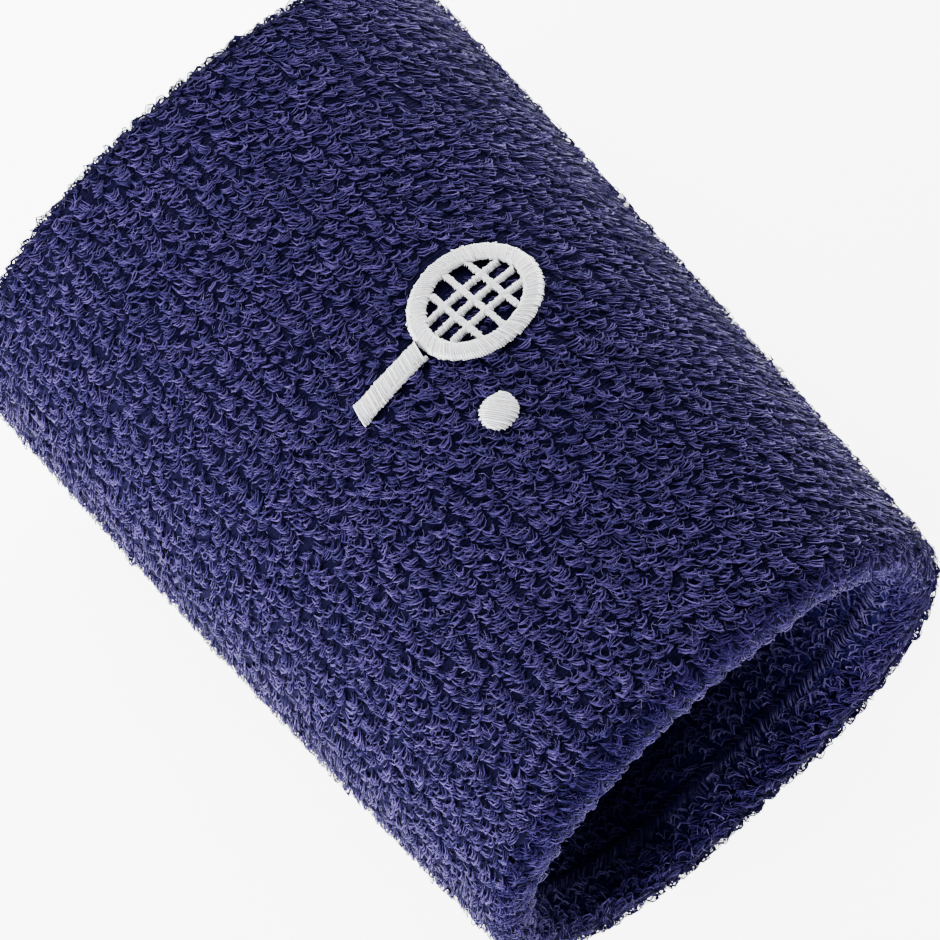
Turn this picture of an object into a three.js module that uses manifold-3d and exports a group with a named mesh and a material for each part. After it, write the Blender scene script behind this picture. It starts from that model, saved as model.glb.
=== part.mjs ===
// Sweat wristband, double length: one knitted terry tube folded in on itself, so that
// loops face the wrist and the outside, closed by a seam just inside the mouth, with
// a covered elastic yarn between the plies and a small embroidered racket and ball.
// Millimetres, +Z up. The band lies on its side with its axis along Y and its mouth
// at -Y. The origin is under the middle of the band, on the surface it lies on.
import * as THREE from 'three';
import Module from 'manifold-3d';
import { mergeVertices } from 'three/addons/utils/BufferGeometryUtils.js';

// Driving dimensions of the tube.
const LENGTH = 120;
const HALF_WIDTH = { mouth: 37, middle: 40.5, far: 42.5 };
const HALF_HEIGHT = { mouth: 21.5, middle: 22.5, far: 23.5 };
const SECTION_POWER = 2.15;      // 2 is an ellipse, more is squarer
const REST_FLAT = 1;             // how far the underside is pressed flat where it lies

// Thicknesses through the wall, from the outside in.
const CLEARANCE = 0.3;           // kept between pieces that touch in the real band
const OUTER_PLY = 2.5;
const BACKING_THICKNESS = 0.3;
const ELASTIC_DIAMETER = 0.7;
const PLY_GAP = BACKING_THICKNESS + ELASTIC_DIAMETER + 3 * CLEARANCE;
const INNER_PLY = 2.3;
const WALL = OUTER_PLY + PLY_GAP + INNER_PLY;
const TOP_SHARE = 0.71;          // of the half width, which the moving top panels reach
const CUTTER_REACH = 1.2;        // cutters run past the band's ends by this share

// Rims, seam and what lies between the plies.
const RIM_LENGTH = 5.6;
const SEAM_DIAMETER = 3.2;
const SEAM_PROUD = 0.7;          // how far the seam stands out of the inner ply
const ELASTIC_PITCH = 10;
const BACKING_MARGIN = 0.8;       // backing left round the embroidery

// Embroidery, on top of the band. Its racket lies across the band.
const EMBLEM = { x: 9.5, y: -3, turn: 0.1 };
const STITCH_HEIGHT = 0.9;
const HEAD = { x: 7, y: 4, halfLength: 8, halfWidth: 6.9, stroke: 2.6 };
const HANDLE = { length: 11.5, width: 3.2 };
const BALL = { x: -2, y: -10.5, radius: 2.6 };
const STRING_WIDTH = 0.9;
const STRINGS = { along: [-2.3, 0, 2.3], across: [-3.2, 0, 3.2] };

// Facets.
const RING_STEPS = 32;
const LENGTH_STEPS = 8;
const RIM_STEPS = 6;
const SEAM_SIDES = 6;
const YARN_SIDES = 4;
const SLAB_STEP = 3;            // longest step in a slab that is bent to the oval
const MANDREL = 40;              // radius that the tube is modelled on before it is pressed

const wasm = await Module();
wasm.setup();

const band = new THREE.Group();
band.name = 'sweat_wristband';

const TERRY_COLOUR = 0x2a2953;
const RIM_COLOUR = 0x252448;
const THREAD_COLOUR = 0xe9eaf0;
const ELASTIC_COLOUR = 0xd8d4cc;
const BACKING_COLOUR = 0xf2f0ea;

/** Adds a geometry to the band as a named piece with its own material. */
function addPiece(name, geometry, colour, roughness) {
  const material = new THREE.MeshStandardMaterial({ color: colour, roughness, metalness: 0 });
  const mesh = new THREE.Mesh(geometry, material);
  mesh.name = name;
  band.add(mesh);
}

/** A size at a place along the band, on a smooth curve through its three values. */
function along(size, y) {
  const place = (2 * y) / LENGTH;
  const slope = (size.far - size.mouth) / 2;
  const bow = (size.far + size.mouth) / 2 - size.middle;
  return size.middle + slope * place + bow * place * place;
}

function squared(value) {
  return Math.sign(value) * Math.abs(value) ** (2 / SECTION_POWER);
}

/** The point of the band at an angle round it, a place along it and a depth in its wall. */
function ovalPoint(angle, y, depth) {
  const halfWidth = along(HALF_WIDTH, y) - depth;
  const halfHeight = along(HALF_HEIGHT, y) - depth;
  const centre = along(HALF_HEIGHT, y) - REST_FLAT;
  const x = halfWidth * squared(Math.cos(angle));
  const z = centre + halfHeight * squared(Math.sin(angle));
  return new THREE.Vector3(x, y, Math.max(z, depth));
}

/** Height over a point of the upper wall's layer at a depth. */
function topHeight(x, y, depth) {
  const centre = along(HALF_HEIGHT, y) - REST_FLAT;
  const halfWidth = along(HALF_WIDTH, y) - depth;
  const halfHeight = along(HALF_HEIGHT, y) - depth;
  const across = Math.abs(x / halfWidth) ** SECTION_POWER;
  return centre + halfHeight * (1 - across) ** (1 / SECTION_POWER);
}

/** Moves every vertex of a geometry by a function of its place. */
function bend(geometry, place) {
  const position = geometry.getAttribute('position');
  const vertex = new THREE.Vector3();
  for (let i = 0; i < position.count; i += 1) {
    vertex.fromBufferAttribute(position, i);
    const moved = place(vertex);
    position.setXYZ(i, moved.x, moved.y, moved.z);
  }
  geometry.computeVertexNormals();
  return geometry;
}

/** Presses a geometry made round the Y axis, on the mandrel, to the band's oval. */
function pressToOval(geometry) {
  return bend(geometry, (p) => {
    const angle = Math.atan2(p.z, p.x);
    const depth = MANDREL - Math.hypot(p.x, p.z);
    return ovalPoint(angle, p.y, depth);
  });
}

/** A ring round the band, from a closed outline of depths in the wall and places along it. */
function ring(outline) {
  const profile = outline.map(([depth, y]) => new THREE.Vector2(MANDREL - depth, y));
  if (THREE.ShapeUtils.area(profile) < 0) profile.reverse();
  profile.push(profile[0].clone());
  return pressToOval(new THREE.LatheGeometry(profile, RING_STEPS));
}

// ---- cutting the tube into panels -------------------------------------------

/** A manifold solid of a geometry whose vertices are merged. */
function solidOf(geometry) {
  const bare = geometry.clone();
  bare.deleteAttribute('normal');
  bare.deleteAttribute('uv');
  const merged = mergeVertices(bare, 1e-4);
  const mesh = new wasm.Mesh({
    numProp: 3,
    vertProperties: new Float32Array(merged.getAttribute('position').array),
    triVerts: new Uint32Array(merged.getIndex().array),
  });
  return new wasm.Manifold(mesh);
}

function geometryOf(solid) {
  const mesh = solid.getMesh();
  const geometry = new THREE.BufferGeometry();
  geometry.setAttribute('position', new THREE.BufferAttribute(mesh.vertProperties, 3));
  geometry.setIndex(new THREE.BufferAttribute(mesh.triVerts, 1));
  geometry.computeVertexNormals();
  return geometry;
}

/** An upright block whose sides follow shares of the band's half width, moved out by gaps. */
function cutter([leftShare, leftGap], [rightShare, rightGap], bottom, top) {
  const left = [];
  const right = [];
  for (let i = 0; i <= LENGTH_STEPS; i += 1) {
    const y = LENGTH * (i / LENGTH_STEPS - 0.5) * CUTTER_REACH;
    left.push(new THREE.Vector2(leftShare * along(HALF_WIDTH, y) + leftGap, y));
    right.push(new THREE.Vector2(rightShare * along(HALF_WIDTH, y) + rightGap, y));
  }
  const plan = new THREE.Shape([...right, ...left.reverse()]);
  const block = new THREE.ExtrudeGeometry(plan, { depth: top - bottom, bevelEnabled: false });
  return solidOf(block.translate(0, 0, bottom));
}

const gap = CLEARANCE / 2;
const middleHeight = HALF_HEIGHT.middle - REST_FLAT;
const overTop = 3 * HALF_HEIGHT.far;
const beyond = 2;                // share of the half width that is past the band's side
const cutters = {
  top: cutter([-TOP_SHARE, gap], [TOP_SHARE, -gap], middleHeight, overTop),
  left: cutter([-beyond, 0], [-TOP_SHARE, -gap], -overTop, overTop),
  bottom: cutter([-TOP_SHARE, gap], [TOP_SHARE, -gap], -overTop, middleHeight),
  right: cutter([TOP_SHARE, gap], [beyond, 0], -overTop, overTop),
};

/** Adds a ring of the tube as four panels, cut upright so that the top can move up and down. */
function addInPanels(name, geometry, colour) {
  const whole = solidOf(geometry);
  for (const [side, block] of Object.entries(cutters)) {
    addPiece(`${name}_${side}`, geometryOf(whole.intersect(block)), colour, 0.95);
  }
}

// ---- plies ------------------------------------------------------------------

/** A ply: a ring that runs along the band from one place to another. */
function addPly(name, outerDepth, innerDepth, fromY, toY) {
  const outside = [];
  const inside = [];
  for (let i = 0; i <= LENGTH_STEPS; i += 1) {
    const y = fromY + ((toY - fromY) * i) / LENGTH_STEPS;
    outside.push([outerDepth, y]);
    inside.push([innerDepth, y]);
  }
  addInPanels(name, ring([...outside, ...inside.reverse()]), TERRY_COLOUR);
}

const mouthEdge = -LENGTH / 2;
const farEdge = LENGTH / 2;
const outerFrom = mouthEdge + RIM_LENGTH + CLEARANCE;
const outerTo = farEdge - RIM_LENGTH - CLEARANCE;
const seamFrom = mouthEdge + RIM_LENGTH + CLEARANCE;
const innerFrom = seamFrom + SEAM_DIAMETER + CLEARANCE;
addPly('outer_ply', 0, OUTER_PLY, outerFrom, outerTo);
addPly('inner_ply', OUTER_PLY + PLY_GAP, WALL, innerFrom, outerTo);

// ---- rims and seam ----------------------------------------------------------

/** The rounded fold at an end of the band. inward is the way to the middle. */
function addRim(name, edgeY, inward) {
  const radius = WALL / 2;
  const outline = [[0, edgeY + inward * RIM_LENGTH]];
  for (let i = 0; i <= RIM_STEPS; i += 1) {
    const turn = (Math.PI * i) / RIM_STEPS;
    const depth = radius - radius * Math.cos(turn);
    outline.push([depth, edgeY + inward * radius * (1 - Math.sin(turn))]);
  }
  outline.push([WALL, edgeY + inward * RIM_LENGTH]);
  addInPanels(name, ring(outline), RIM_COLOUR);
}

/** The closing seam: a cord of stitches between the mouth's rim and the inner ply. */
function addSeam() {
  const radius = SEAM_DIAMETER / 2;
  const depth = WALL + SEAM_PROUD - radius;
  const outline = [];
  for (let i = 0; i < SEAM_SIDES; i += 1) {
    const turn = (2 * Math.PI * i) / SEAM_SIDES;
    outline.push([depth + radius * Math.sin(turn), seamFrom + radius - radius * Math.cos(turn)]);
  }
  addPiece('closing_seam', ring(outline), RIM_COLOUR, 0.9);
}

addRim('mouth_rim', mouthEdge, 1);
addRim('far_rim', farEdge, -1);
addSeam();

// ---- elastic yarn and backing ---------------------------------------------

const elasticRadius = ELASTIC_DIAMETER / 2;
const elasticDepth = OUTER_PLY + PLY_GAP - CLEARANCE - elasticRadius;

/** The elastic yarn's route round the mandrel, between the plies. */
class ElasticHelix extends THREE.Curve {
  constructor(fromY, turns) {
    super();
    this.fromY = fromY;
    this.turns = turns;
  }

  getPoint(t) {
    const angle = 2 * Math.PI * this.turns * t;
    const radius = MANDREL - elasticDepth;
    const y = this.fromY + ELASTIC_PITCH * this.turns * t;
    return new THREE.Vector3(radius * Math.cos(angle), y, radius * Math.sin(angle));
  }
}

function addElastic() {
  const fromY = innerFrom + elasticRadius;
  const turns = Math.floor((outerTo - elasticRadius - fromY) / ELASTIC_PITCH);
  const section = new THREE.Shape();
  for (let i = 0; i < YARN_SIDES; i += 1) {
    const turn = (2 * Math.PI * i) / YARN_SIDES;
    const x = elasticRadius * Math.cos(turn);
    const y = elasticRadius * Math.sin(turn);
    if (i === 0) section.moveTo(x, y);
    else section.lineTo(x, y);
  }
  const yarn = new THREE.ExtrudeGeometry(section, {
    steps: turns * RING_STEPS,
    extrudePath: new ElasticHelix(fromY, turns),
  });
  addPiece('elastic_yarn', pressToOval(yarn), ELASTIC_COLOUR, 0.6);
}

addElastic();

// ---- embroidery -----------------------------------------------------------

/** A flat shape of the emblem, laid on the upper wall's layer at a depth. */
function laidOnTop(flat, depth) {
  flat.rotateZ(EMBLEM.turn);
  flat.translate(EMBLEM.x, EMBLEM.y, 0);
  return bend(flat, (p) => new THREE.Vector3(p.x, p.y, topHeight(p.x, p.y, depth - p.z)));
}

/** A flat rectangular slab standing on the emblem's plane, in steps along both sides. */
function slab(left, bottom, right, top, height) {
  const across = right - left;
  const up = top - bottom;
  const steps = [Math.ceil(across / SLAB_STEP), Math.ceil(up / SLAB_STEP)];
  const box = new THREE.BoxGeometry(across, up, height, ...steps, 1);
  return box.translate((left + right) / 2, (bottom + top) / 2, height / 2);
}

function raised(shape, height, curveSegments = 12) {
  return new THREE.ExtrudeGeometry(shape, { depth: height, bevelEnabled: false, curveSegments });
}

/** The racket's head: a satin-stitched oval line. */
function addHead() {
  const half = HEAD.stroke / 2;
  const shape = new THREE.Shape();
  shape.absellipse(HEAD.x, HEAD.y, HEAD.halfLength + half, HEAD.halfWidth + half, 0, 2 * Math.PI);
  const hole = new THREE.Path();
  hole.absellipse(HEAD.x, HEAD.y, HEAD.halfLength - half, HEAD.halfWidth - half, 0, 2 * Math.PI);
  shape.holes.push(hole);
  addPiece('emblem_head', laidOnTop(raised(shape, STITCH_HEIGHT), -CLEARANCE), THREAD_COLOUR, 0.5);
}

function addHandle() {
  const right = HEAD.x - HEAD.halfLength - HEAD.stroke / 2 - CLEARANCE;
  const half = HANDLE.width / 2;
  const flat = slab(right - HANDLE.length, HEAD.y - half, right, HEAD.y + half, STITCH_HEIGHT);
  addPiece('emblem_handle', laidOnTop(flat, -CLEARANCE), THREAD_COLOUR, 0.5);
}

function addBall() {
  const shape = new THREE.Shape();
  shape.absarc(BALL.x, BALL.y, BALL.radius, 0, 2 * Math.PI, false);
  addPiece('emblem_ball', laidOnTop(raised(shape, STITCH_HEIGHT, 8), -CLEARANCE), THREAD_COLOUR, 0.5);
}

/** The racket's strings: thin stitched lines both ways, joined where they cross. */
function addStrings() {
  const innerLength = HEAD.halfLength - HEAD.stroke / 2 - CLEARANCE;
  const innerWidth = HEAD.halfWidth - HEAD.stroke / 2 - CLEARANCE;
  const half = STRING_WIDTH / 2;
  const height = STITCH_HEIGHT / 2;
  const bars = [];
  for (const y of STRINGS.along) {
    const reach = innerLength * Math.sqrt(1 - ((Math.abs(y) + half) / innerWidth) ** 2);
    bars.push(slab(HEAD.x - reach, HEAD.y + y - half, HEAD.x + reach, HEAD.y + y + half, height));
  }
  for (const x of STRINGS.across) {
    const reach = innerWidth * Math.sqrt(1 - ((Math.abs(x) + half) / innerLength) ** 2);
    bars.push(slab(HEAD.x + x - half, HEAD.y - reach, HEAD.x + x + half, HEAD.y + reach, height));
  }
  const solids = bars.map((bar) => solidOf(laidOnTop(bar, -CLEARANCE)));
  const grid = solids.reduce((joined, solid) => joined.add(solid));
  addPiece('emblem_strings', geometryOf(grid), THREAD_COLOUR, 0.5);
}

/** The stabiliser sheet behind the embroidery, between the plies. */
function addBacking() {
  const left = HEAD.x - HEAD.halfLength - HEAD.stroke / 2 - CLEARANCE - HANDLE.length;
  const right = HEAD.x + HEAD.halfLength + HEAD.stroke / 2;
  const bottom = BALL.y - BALL.radius;
  const top = HEAD.y + HEAD.halfWidth + HEAD.stroke / 2;
  const flat = slab(
    left - BACKING_MARGIN,
    bottom - BACKING_MARGIN,
    right + BACKING_MARGIN,
    top + BACKING_MARGIN,
    BACKING_THICKNESS,
  );
  const depth = OUTER_PLY + CLEARANCE + BACKING_THICKNESS;
  addPiece('emblem_backing', laidOnTop(flat, depth), BACKING_COLOUR, 0.9);
}

addHead();
addHandle();
addBall();
addStrings();
addBacking();

export default band;
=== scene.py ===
"""Double-length terry sweat wristband: its knit, pile, seam and embroidery.

Metres, +Z up. The band lies on its side, its axis along Y and its mouth at -Y.
"""

import logging
import math
from dataclasses import dataclass, field
from enum import Enum
from functools import cache
from typing import Sequence

import bmesh
import bpy
import numpy as np
from mathutils import Matrix, Vector


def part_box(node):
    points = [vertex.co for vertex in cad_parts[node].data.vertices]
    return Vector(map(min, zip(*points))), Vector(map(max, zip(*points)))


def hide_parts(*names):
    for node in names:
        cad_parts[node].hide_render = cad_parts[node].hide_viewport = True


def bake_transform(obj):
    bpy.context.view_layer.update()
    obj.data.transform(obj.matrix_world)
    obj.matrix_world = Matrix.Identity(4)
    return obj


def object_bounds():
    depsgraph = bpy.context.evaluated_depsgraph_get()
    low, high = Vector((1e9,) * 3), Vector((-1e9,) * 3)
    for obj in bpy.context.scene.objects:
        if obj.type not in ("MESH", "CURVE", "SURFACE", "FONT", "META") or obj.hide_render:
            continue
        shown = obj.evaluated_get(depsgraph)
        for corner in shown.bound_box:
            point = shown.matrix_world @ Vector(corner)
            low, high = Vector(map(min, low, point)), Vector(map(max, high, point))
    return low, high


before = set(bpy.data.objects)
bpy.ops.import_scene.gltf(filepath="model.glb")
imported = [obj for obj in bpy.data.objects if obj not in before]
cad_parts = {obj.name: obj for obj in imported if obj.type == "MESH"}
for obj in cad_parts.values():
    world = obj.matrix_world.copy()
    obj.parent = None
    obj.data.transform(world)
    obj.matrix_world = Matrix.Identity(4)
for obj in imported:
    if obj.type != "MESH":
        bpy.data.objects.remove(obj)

CAD_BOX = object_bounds()
LOG = logging.getLogger("wristband")
MM = 0.001
FLOOR_GAP = 0.02 * MM
PANELS = ("top", "left", "bottom", "right")


class Slot(Enum):
    """The record's material slots."""

    TERRY = "terry"
    RIM = "rim_terry"
    SEAM = "seam_thread"
    ELASTIC = "elastic"
    THREAD = "embroidery_thread"
    BACKING = "backing"


# ---- the band's shape ---------------------------------------------------------


@dataclass(frozen=True)
class ThreeSizes:
    """A half width or half height at the mouth, the middle and the far end."""

    mouth: float
    middle: float
    far: float

    def at(self, place: np.ndarray) -> np.ndarray:
        """The size on a smooth curve.

        Args:
            place: Places along the band, -1 at the mouth and 1 at the far end.

        Returns:
            The size at each place.
        """
        slope = (self.far - self.mouth) / 2
        bow = (self.far + self.mouth) / 2 - self.middle
        return self.middle + slope * place + bow * place * place


@dataclass(frozen=True)
class BandShape:
    """The oval tube, as a surface of angle round it, place along it and depth in its wall."""

    half_width: ThreeSizes = ThreeSizes(37.0 * MM, 40.5 * MM, 42.5 * MM)
    half_height: ThreeSizes = ThreeSizes(21.5 * MM, 22.5 * MM, 23.5 * MM)
    power: float = 2.15
    rest_flat: float = 1.0 * MM
    wall: float = 6.7 * MM
    pile: float = 1.2 * MM
    length: float = float(CAD_BOX[1][1] - CAD_BOX[0][1])
    wales: int = 122

    def squared(self, value: np.ndarray) -> np.ndarray:
        """A sine or cosine, changed so that the oval is a little squarer than an ellipse."""
        return np.sign(value) * np.abs(value) ** (2 / self.power)

    def point(self, angle: np.ndarray, y: np.ndarray, depth: np.ndarray) -> np.ndarray:
        """Points of the band.

        Args:
            angle: Angles round the Y axis, from +X towards +Z.
            y: Places along the band in metres.
            depth: Depths in the wall, from the pile's tips inwards.

        Returns:
            An array of points, one row each.
        """
        place = 2 * y / self.length
        middle = self.half_height.at(place)
        x = (self.half_width.at(place) - depth) * self.squared(np.cos(angle))
        z = middle - self.rest_flat + (middle - depth) * self.squared(np.sin(angle))
        return np.stack([x, y + 0 * x, np.maximum(z, depth)], axis=-1)

    def top_height(self, x: np.ndarray, y: np.ndarray, depth: np.ndarray) -> np.ndarray:
        """Height over points of the upper wall's layer at a depth.

        Args:
            x: Places across the band.
            y: Places along the band.
            depth: Depths in the wall, negative above the pile's tips.

        Returns:
            The heights.
        """
        place = 2 * y / self.length
        half_height = self.half_height.at(place)
        share = np.abs(x / (self.half_width.at(place) - depth)) ** self.power
        layer = (half_height - depth) * (1 - share) ** (1 / self.power)
        return half_height - self.rest_flat + layer

    def wale_angles(self) -> np.ndarray:
        """Angles of the knit's wales.

        Returns:
            The angles, evenly spaced along the oval's perimeter.
        """
        fine = np.linspace(0, 2 * math.pi, 4001)
        points = self.point(fine, np.zeros_like(fine), np.zeros_like(fine))
        steps = np.linalg.norm(np.diff(points, axis=0), axis=1)
        run = np.concatenate([[0], np.cumsum(steps)])
        return np.interp(np.arange(self.wales) / self.wales * run[-1], run, fine)

    def perimeter(self, depth: float) -> float:
        """Length round the middle of the band.

        Args:
            depth: Depth in the wall.

        Returns:
            The length.
        """
        fine = np.linspace(0, 2 * math.pi, 2001)
        points = self.point(fine, np.zeros_like(fine), np.full_like(fine, depth))
        return float(np.linalg.norm(np.diff(points, axis=0), axis=1).sum())


@dataclass(frozen=True)
class WallPath:
    """The ground knit's path through the wall: out along the band, over a rim and back.

    The path starts at the mouth on the outer ply, and a run along it is in metres.
    """

    shape: BandShape
    sink: float

    @property
    def radius(self) -> float:
        """Radius of the path's fold at each rim."""
        return self.shape.wall / 2 - self.sink

    @property
    def straight(self) -> float:
        """Length of the path on one ply."""
        return self.shape.length - self.shape.wall

    @property
    def total(self) -> float:
        """Length of the whole path, both plies and both folds."""
        return 2 * self.straight + 2 * math.pi * self.radius

    def at(self, run: np.ndarray) -> tuple[np.ndarray, np.ndarray, np.ndarray, np.ndarray]:
        """Places and outward directions on the path.

        Args:
            run: Distances along the path.

        Returns:
            The place along the band, the depth, and the outward direction as its
            share along the band and its share out of the wall.
        """
        half = self.shape.length / 2
        middle = self.shape.wall / 2
        fold = math.pi * self.radius
        run = np.mod(run, self.total)
        far_turn = np.clip((run - self.straight) / fold, 0, 1) * math.pi
        near_turn = np.clip((run - 2 * self.straight - fold) / fold, 0, 1) * math.pi
        on_outer = run < self.straight
        on_far = (run >= self.straight) & (run < self.straight + fold)
        on_inner = (run >= self.straight + fold) & (run < 2 * self.straight + fold)
        y_outer = -half + middle + run
        y_far = half - middle + self.radius * np.sin(far_turn)
        y_inner = half - middle - (run - self.straight - fold)
        y_near = -half + middle - self.radius * np.sin(near_turn)
        y = np.select([on_outer, on_far, on_inner], [y_outer, y_far, y_inner], y_near)
        out = np.select(
            [on_outer, on_far, on_inner],
            [np.ones_like(run), np.cos(far_turn), -np.ones_like(run)],
            -np.cos(near_turn),
        )
        forward = np.select(
            [on_outer | on_inner, on_far], [np.zeros_like(run), np.sin(far_turn)], -np.sin(near_turn)
        )
        return y, middle - self.radius * out, forward, out


# ---- making meshes --------------------------------------------------------------


def unit_rows(vectors: np.ndarray) -> np.ndarray:
    """Vectors of length 1 in the same directions, one row each."""
    return vectors / np.maximum(np.linalg.norm(vectors, axis=1, keepdims=True), 1e-12)


def new_object(name: str, mesh: bpy.types.Mesh) -> bpy.types.Object:
    """Links a mesh to the scene as an object.

    Args:
        name: The piece's name.
        mesh: Its mesh, in place.

    Returns:
        The new object.
    """
    piece = bpy.data.objects.new(name, mesh)
    bpy.context.scene.collection.objects.link(piece)
    return piece


def finish_bmesh(name: str, shape: bmesh.types.BMesh, smooth: bool = True) -> bpy.types.Object:
    """Turns a bmesh into an object with outward faces.

    Args:
        name: The piece's name.
        shape: The bmesh, which is freed.
        smooth: Whether its faces are smooth.

    Returns:
        The new object.
    """
    bmesh.ops.recalc_face_normals(shape, faces=shape.faces)
    for face in shape.faces:
        face.smooth = smooth
    mesh = bpy.data.meshes.new(name)
    shape.to_mesh(mesh)
    shape.free()
    return new_object(name, mesh)


@dataclass
class Template:
    """A small mesh that is repeated, with each point's place along it and round it."""

    points: np.ndarray
    triangles: np.ndarray
    along: np.ndarray
    around: np.ndarray

    @classmethod
    def of(cls, shape: bmesh.types.BMesh, along: Sequence[float], around: Sequence[float]) -> "Template":
        """Takes the points and triangles of a bmesh, which is freed.

        Args:
            shape: The bmesh.
            along: Each point's place along the strand, from 0 to 1.
            around: Each point's place round the strand, from 0 to 1.

        Returns:
            The template.
        """
        bmesh.ops.recalc_face_normals(shape, faces=shape.faces)
        bmesh.ops.triangulate(shape, faces=shape.faces)
        shape.verts.index_update()
        points = np.array([v.co[:] for v in shape.verts])
        triangles = np.array([[v.index for v in f.verts] for f in shape.faces])
        shape.free()
        return cls(points, triangles, np.array(along), np.array(around))

    def height_share(self) -> np.ndarray:
        """Each point's height, from 0 at the lowest to 1 at the highest."""
        heights = self.points[:, 2]
        return (heights - heights.min()) / max(heights.max() - heights.min(), 1e-9)


@dataclass
class Copies:
    """Many copies of a template: their points, and values that each copy carries."""

    template: Template
    points: np.ndarray
    tone: np.ndarray

    def mesh(self, name: str) -> bpy.types.Mesh:
        """Builds one mesh of all the copies.

        Args:
            name: The mesh's name.

        Returns:
            A smooth mesh with the attributes tip and tone, and a map with a cell for each copy.
        """
        count, size = self.points.shape[:2]
        faces = (self.template.triangles[None] + np.arange(count)[:, None, None] * size).reshape(-1, 3)
        mesh = bpy.data.meshes.new(name)
        mesh.vertices.add(count * size)
        mesh.vertices.foreach_set("co", self.points.reshape(-1).astype(np.float32))
        mesh.loops.add(faces.size)
        mesh.loops.foreach_set("vertex_index", faces.reshape(-1).astype(np.int32))
        mesh.polygons.add(len(faces))
        mesh.polygons.foreach_set("loop_start", np.arange(0, faces.size, 3, dtype=np.int32))
        mesh.polygons.foreach_set("use_smooth", np.ones(len(faces), dtype=bool))
        self._attribute(mesh, "tip", np.tile(self.template.height_share(), count))
        self._attribute(mesh, "tone", np.repeat(self.tone, size))
        layer = mesh.uv_layers.new(name="OFBake")
        layer.data.foreach_set("uv", self._cells()[faces.reshape(-1)].reshape(-1).astype(np.float32))
        mesh.update()
        mesh.validate()
        return mesh

    @staticmethod
    def _attribute(mesh: bpy.types.Mesh, name: str, values: np.ndarray) -> None:
        """Stores a value for each point."""
        layer = mesh.attributes.new(name, "FLOAT", "POINT")
        layer.data.foreach_set("value", values.astype(np.float32))

    def _cells(self) -> np.ndarray:
        """Places on the map.

        Returns:
            A row for each point, in a square cell for each copy, the copy laid out along it.
        """
        margin = 0.08
        count = len(self.points)
        side = math.ceil(math.sqrt(count))
        index = np.arange(count)
        corner = np.stack([index % side, index // side], axis=1)[:, None]
        place = np.stack([self.template.around, self.template.along], axis=1)[None]
        return ((corner + margin + (1 - 2 * margin) * place) / side).reshape(-1, 2)


def strand_arch(radius: float, thickness: float, steps: int, open_turn: float, foot: float) -> Template:
    """A strand bent into an arch that stands on the XY plane in the XZ plane.

    Args:
        radius: Radius of the arch.
        thickness: Radius of the strand.
        steps: Steps round the arch.
        open_turn: How far past the half circle each side curls in, in radians.
        foot: Height of the arch's centre over its feet.

    Returns:
        The template.
    """
    shape = bmesh.new()
    ring = bmesh.ops.create_circle(shape, cap_ends=True, segments=3, radius=thickness)
    start = Matrix.Rotation(open_turn, 4, "Y") @ Matrix.Translation((radius, 0, 0))
    bmesh.ops.transform(shape, matrix=start, verts=ring["verts"])
    turn = math.pi + 2 * open_turn
    bmesh.ops.spin(
        shape, geom=shape.faces[:], cent=(0, 0, 0), axis=(0, -1, 0), dvec=(0, 0, 0),
        angle=turn, steps=steps, use_merge=False, use_normal_flip=False,
        use_duplicate=False, space=Matrix.Identity(4),
    )
    along = [(math.atan2(v.co.z, v.co.x) + open_turn) % (2 * math.pi) / turn for v in shape.verts]
    away = [math.hypot(v.co.x, v.co.z) - radius for v in shape.verts]
    side = [0.3 if v.co.y > 0 else 0.0 for v in shape.verts]
    around = [0.5 + 0.5 * a / thickness + more for a, more in zip(away, side)]
    for vert in shape.verts:
        vert.co.z += foot
    return Template.of(shape, np.clip(along, 0, 1), np.clip(around, 0, 1))


def strand_rod(steps: int, sides: int) -> Template:
    """A straight strand of unit radius along X, from -1 to 1.

    Args:
        steps: Steps along it.
        sides: Sides of its section.

    Returns:
        The template.
    """
    shape = bmesh.new()
    ring = bmesh.ops.create_circle(shape, cap_ends=True, segments=sides, radius=1)
    start = Matrix.Translation((-1, 0, 0)) @ Matrix.Rotation(math.pi / 2, 4, "Y")
    bmesh.ops.transform(shape, matrix=start, verts=ring["verts"])
    bmesh.ops.spin(
        shape, geom=shape.faces[:], cent=(0, 0, 0), axis=(1, 0, 0), dvec=(2 / steps, 0, 0),
        angle=0, steps=steps, use_merge=False, use_normal_flip=False,
        use_duplicate=False, space=Matrix.Identity(4),
    )
    along = [(v.co.x + 1) / 2 + 0.1 * v.co.z for v in shape.verts]
    around = [(v.co.y + 1) / 2 for v in shape.verts]
    return Template.of(shape, np.clip(along, 0, 1), np.clip(around, 0, 1))


# ---- materials --------------------------------------------------------------------


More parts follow.
